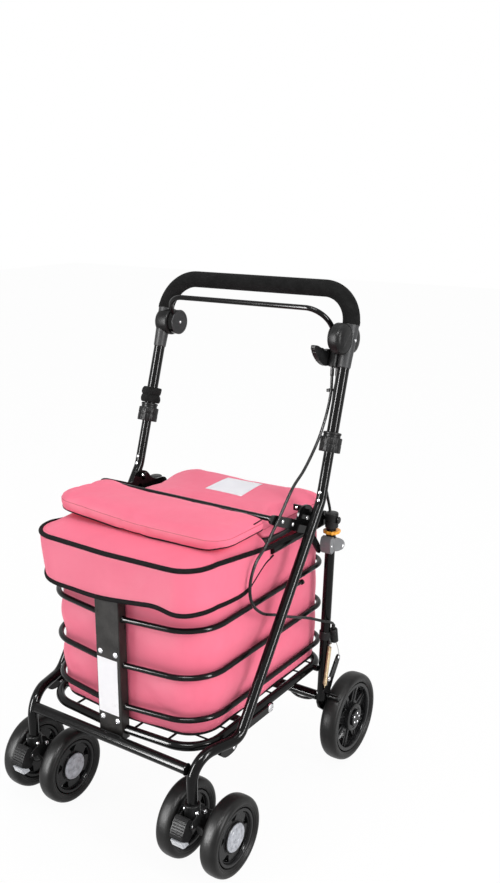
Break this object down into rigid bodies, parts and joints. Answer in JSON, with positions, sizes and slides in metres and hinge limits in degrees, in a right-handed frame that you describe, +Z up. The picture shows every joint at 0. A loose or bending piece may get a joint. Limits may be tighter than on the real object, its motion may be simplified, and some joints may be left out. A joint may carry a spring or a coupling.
{
  "type": "shopping rollator",
  "caption": "Four-wheeled shopping rollator with a soft bag in a wire basket, a padded seat and flap, twin front casters, a folding rear frame and an adjustable handle with a brake bar.",
  "frame": {"origin": "on the floor, at the middle of the footprint", "axes": "+Z up, +X to the right seen from behind the handle with the front towards -Y, +Y towards the handle and the rear wheels"},
  "size_m": [0.502, 0.6024, 0.9639],
  "materials": {
    "black_paint": "gloss black powder coat",
    "foam": "matte black closed-cell foam",
    "black_plastic": "matte black moulded nylon",
    "grey_plastic": "dark grey moulded plastic with a slight sheen",
    "tyre": "matte black solid tyre",
    "rim": "satin black moulded rim",
    "vinyl": "pink coated cloth with black binding",
    "orange": "orange moulded plastic",
    "clip": "mid grey moulded plastic",
    "zinc": "yellow passivated spring wire",
    "board": "black seat board",
    "cable": "black cable sheath",
    "webbing": "black webbing"
  },
  "bodies": {
    "frame": {"side_tube_left": "black_paint", "side_tube_right": "black_paint", "front_cross_tube": "black_paint", "front_channel": "black_paint", "ring_upper": "black_paint", "ring_middle": "black_paint", "ring_lower": "black_paint", "basket_floor": "black_paint", "seat_frame": "black_paint", "rim_hoop": "black_paint", "seat_bracket_left": "black_paint", "seat_bracket_right": "black_paint", "hinge_bar": "black_paint", "bag": "vinyl", "brake_cable_right": "cable", "brake_cable_left": "cable"},
    "flap": {"flap": "vinyl"},
    "seat": {"seat_board": "board", "seat_pad": "vinyl"},
    "handle": {"handle_tube": "black_paint", "foam_grip": "foam", "collar_strap": "webbing", "brake_housing_left": "grey_plastic", "brake_housing_right": "grey_plastic"},
    "park_lever": {"park_lever": "black_plastic"},
    "brake_bar": {"brake_bar": "black_paint"},
    "rear_frame": {"rear_leg_left": "black_paint", "rear_leg_right": "black_paint", "rear_cross_tube": "black_paint", "rear_cap_left": "black_plastic", "rear_cap_right": "black_plastic", "latch_clip_left": "clip", "latch_clip_right": "clip", "cable_clamp_left": "black_plastic", "cable_clamp_right": "black_plastic", "brake_spring_left": "zinc", "brake_spring_right": "zinc"},
    "collar_left": {"collar_left": "black_plastic"},
    "collar_right": {"collar_right": "black_plastic"},
    "latch_release_left": {"latch_release_left": "orange"},
    "brake_arm_left": {"brake_arm_left": "black_paint"},
    "rear_wheel_left": {"rear_tyre_left": "tyre", "rear_rim_left": "rim"},
    "caster_left": {"caster_fork_left": "black_plastic"},
    "caster_pedal_left": {"caster_pedal_left": "black_plastic"},
    "front_wheel_outer_left": {"front_tyre_outer_left": "tyre", "front_rim_outer_left": "rim"},
    "front_wheel_inner_left": {"front_tyre_inner_left": "tyre", "front_rim_inner_left": "rim"},
    "latch_release_right": {"latch_release_right": "orange"},
    "brake_arm_right": {"brake_arm_right": "black_paint"},
    "rear_wheel_right": {"rear_tyre_right": "tyre", "rear_rim_right": "rim"},
    "caster_right": {"caster_fork_right": "black_plastic"},
    "caster_pedal_right": {"caster_pedal_right": "black_plastic"},
    "front_wheel_outer_right": {"front_tyre_outer_right": "tyre", "front_rim_outer_right": "rim"},
    "front_wheel_inner_right": {"front_tyre_inner_right": "tyre", "front_rim_inner_right": "rim"}
  },
  "joints": [
    {"name": "handle_slide", "type": "slide", "parent": "frame", "child": "handle", "axis": [0, 0.3024, 0.9532], "range_m": [-0.045, 0.06], "deforming": ["brake_cable_right", "brake_cable_left"]},
    {"name": "collar_left_twist", "type": "hinge", "parent": "handle", "child": "collar_left", "pos_m": [-0.216, 0.13274, 0.67032], "axis": [0, 0.3024, 0.9532], "range_deg": [0, 60]},
    {"name": "collar_right_twist", "type": "hinge", "parent": "handle", "child": "collar_right", "pos_m": [0.216, 0.13274, 0.67032], "axis": [0, 0.3024, 0.9532], "range_deg": [0, 60]},
    {"name": "brake_bar_squeeze", "type": "hinge", "parent": "handle", "child": "brake_bar", "pos_m": [0, 0.20174, 0.8614], "axis": [1, 0, 0], "range_deg": [-25, 0], "stiffness_Nm_per_rad": 0.8},
    {"name": "park_lever_press", "type": "hinge", "parent": "handle", "child": "park_lever", "pos_m": [0.183, 0.1835, 0.831], "axis": [1, 0, 0], "range_deg": [0, 20]},
    {"name": "rear_fold", "type": "hinge", "parent": "frame", "child": "rear_frame", "pos_m": [0, 0.1515, 0.527], "axis": [1, 0, 0], "range_deg": [-20, 0]},
    {"name": "latch_release_left_lift", "type": "slide", "parent": "rear_frame", "child": "latch_release_left", "axis": [-0.0269, 0.0188, 0.9995], "range_m": [0, 0.005], "stiffness_N_per_m": 150},
    {"name": "brake_arm_left_press", "type": "hinge", "parent": "rear_frame", "child": "brake_arm_left", "pos_m": [-0.2166, 0.1465, 0.197], "axis": [1, 0, 0], "range_deg": [0, 9], "deforming": ["brake_spring_left"]},
    {"name": "rear_wheel_left_spin", "type": "hinge", "parent": "rear_frame", "child": "rear_wheel_left", "pos_m": [-0.226, 0.2125, 0.0887], "axis": [1, 0, 0], "continuous": true},
    {"name": "caster_left_swivel", "type": "hinge", "parent": "frame", "child": "caster_left", "pos_m": [-0.186, -0.2545, 0.13], "axis": [0, 0, 1], "continuous": true},
    {"name": "caster_pedal_left_press", "type": "hinge", "parent": "caster_left", "child": "caster_pedal_left", "pos_m": [-0.186, -0.2755, 0.113], "axis": [1, 0, 0], "range_deg": [0, 10]},
    {"name": "front_wheel_outer_left_spin", "type": "hinge", "parent": "caster_left", "child": "front_wheel_outer_left", "pos_m": [-0.2325, -0.2115, 0.0705], "axis": [1, 0, 0], "continuous": true},
    {"name": "front_wheel_inner_left_spin", "type": "hinge", "parent": "caster_left", "child": "front_wheel_inner_left", "pos_m": [-0.1395, -0.2115, 0.0705], "axis": [1, 0, 0], "continuous": true},
    {"name": "latch_release_right_lift", "type": "slide", "parent": "rear_frame", "child": "latch_release_right", "axis": [0.0269, 0.0188, 0.9995], "range_m": [0, 0.005], "stiffness_N_per_m": 150},
    {"name": "brake_arm_right_press", "type": "hinge", "parent": "rear_frame", "child": "brake_arm_right", "pos_m": [0.2166, 0.1465, 0.197], "axis": [1, 0, 0], "range_deg": [0, 9], "deforming": ["brake_spring_right"]},
    {"name": "rear_wheel_right_spin", "type": "hinge", "parent": "rear_frame", "child": "rear_wheel_right", "pos_m": [0.226, 0.2125, 0.0887], "axis": [1, 0, 0], "continuous": true},
    {"name": "caster_right_swivel", "type": "hinge", "parent": "frame", "child": "caster_right", "pos_m": [0.186, -0.2545, 0.13], "axis": [0, 0, 1], "continuous": true},
    {"name": "caster_pedal_right_press", "type": "hinge", "parent": "caster_right", "child": "caster_pedal_right", "pos_m": [0.186, -0.2755, 0.113], "axis": [1, 0, 0], "range_deg": [0, 10]},
    {"name": "front_wheel_outer_right_spin", "type": "hinge", "parent": "caster_right", "child": "front_wheel_outer_right", "pos_m": [0.2325, -0.2115, 0.0705], "axis": [1, 0, 0], "continuous": true},
    {"name": "front_wheel_inner_right_spin", "type": "hinge", "parent": "caster_right", "child": "front_wheel_inner_right", "pos_m": [0.1395, -0.2115, 0.0705], "axis": [1, 0, 0], "continuous": true},
    {"name": "flap_open", "type": "hinge", "parent": "frame", "child": "flap", "pos_m": [0, -0.0285, 0.576], "axis": [1, 0, 0], "range_deg": [-100, 0]},
    {"name": "seat_lift", "type": "hinge", "parent": "frame", "child": "seat", "pos_m": [0, -0.0165, 0.553], "axis": [1, 0, 0], "range_deg": [0, 80]}
  ],
  "couplings": [
    {"joint": "brake_arm_left_press", "follows": "brake_bar_squeeze", "ratio": -0.36},
    {"joint": "brake_arm_right_press", "follows": "brake_bar_squeeze", "ratio": -0.36}
  ]
}
